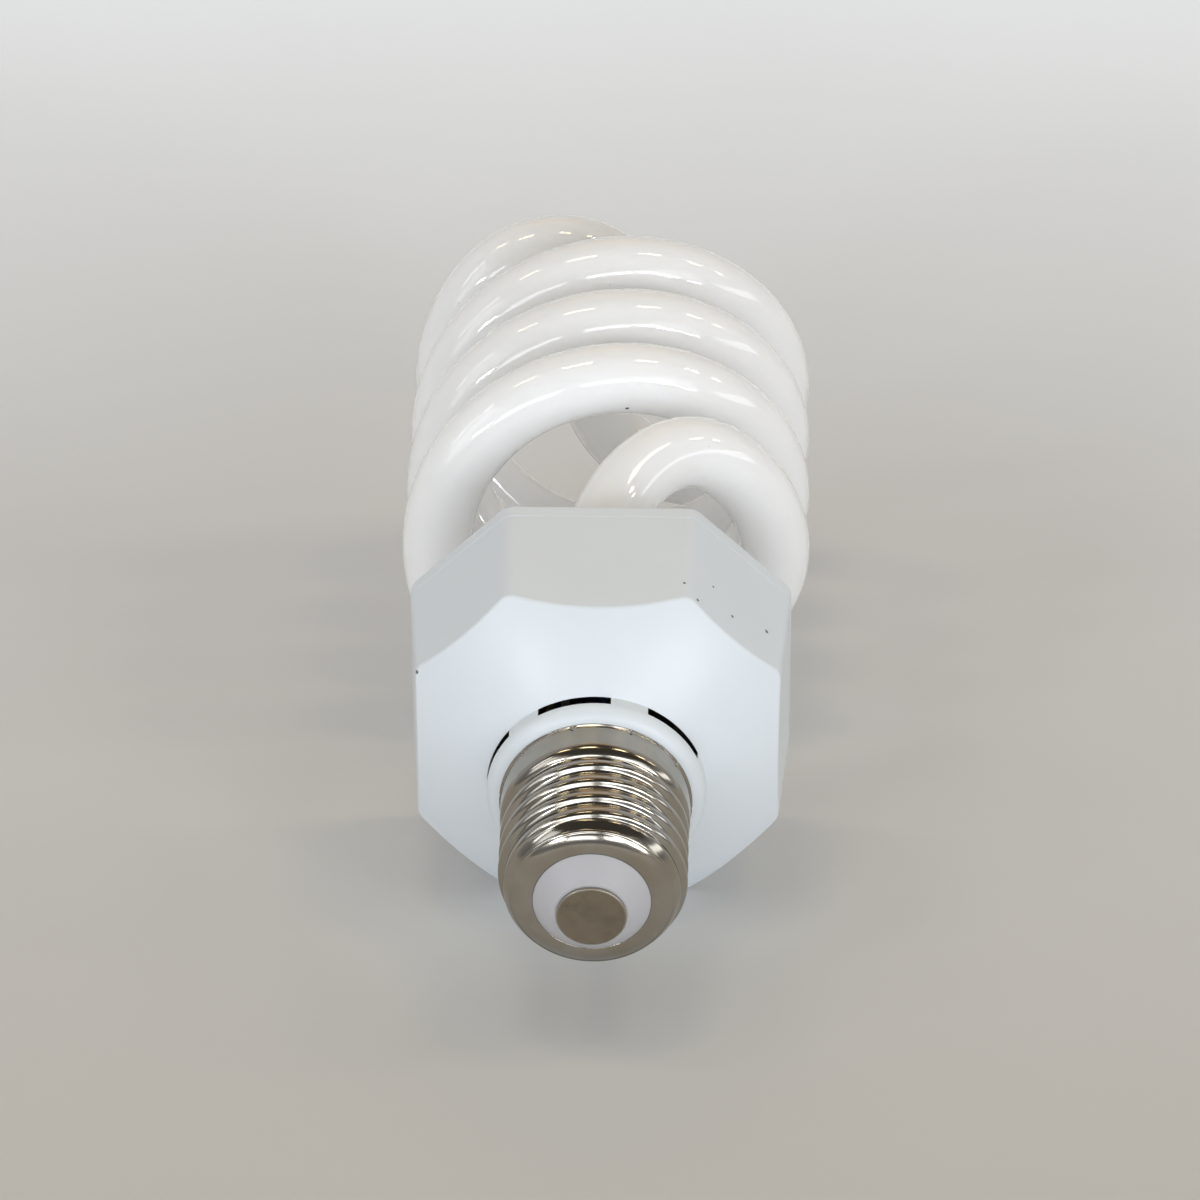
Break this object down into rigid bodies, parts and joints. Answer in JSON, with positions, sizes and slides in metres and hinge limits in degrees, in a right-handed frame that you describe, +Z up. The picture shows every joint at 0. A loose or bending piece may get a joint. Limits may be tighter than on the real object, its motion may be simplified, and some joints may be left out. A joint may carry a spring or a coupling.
{
  "type": "compact fluorescent bulb",
  "caption": "Compact fluorescent lamp: a white double-spiral glass tube on an octagonal vented ballast housing with a plated screw cap, lying on its side.",
  "frame": {"origin": "centre of the bottom of the bounding box, on the surface that the lamp lies on", "axes": "+Y along the lamp from the cap to the tip of the tube, +Z up, +X to the right seen from the cap"},
  "size_m": [0.06, 0.15, 0.0621],
  "materials": {
    "phosphor_glass": "gloss",
    "housing_plastic": "satin",
    "plated_shell": "polished",
    "insulator": "gloss",
    "contact_metal": "worn",
    "cement": "matte",
    "board": "matte",
    "capacitor_sleeve": "gloss",
    "ferrite": "matte",
    "black_plastic": "matte",
    "copper": "enamelled",
    "film_dip": "gloss",
    "disc_dip": "gloss",
    "resistor_lacquer": "satin",
    "diode_glass": "gloss",
    "wire_sleeve": "satin",
    "tinned_pin": "plain",
    "lead_wire": "plain"
  },
  "bodies": {
    "root": {"glass_tube": "phosphor_glass", "tube_cover": "housing_plastic", "ballast_housing": "housing_plastic", "cap_shell": "plated_shell", "cap_insulator": "insulator", "centre_contact": "contact_metal", "tube_cement": "cement", "circuit_board": "board", "smoothing_capacitor": "capacitor_sleeve", "choke_core": "ferrite", "choke_bobbin": "black_plastic", "choke_winding": "copper", "toroid_core": "ferrite", "toroid_windings": "copper", "transistors": "black_plastic", "resonance_capacitor": "film_dip", "coupling_capacitor": "film_dip", "filter_inductor": "ferrite", "fuse_resistor": "resistor_lacquer", "starting_capacitor": "disc_dip", "rectifier_diodes": "black_plastic", "resistors": "resistor_lacquer", "trigger_diode": "diode_glass", "live_wire": "wire_sleeve", "neutral_wire": "wire_sleeve", "wrap_pins": "tinned_pin", "tube_leads": "lead_wire"}
  },
  "joints": []
}
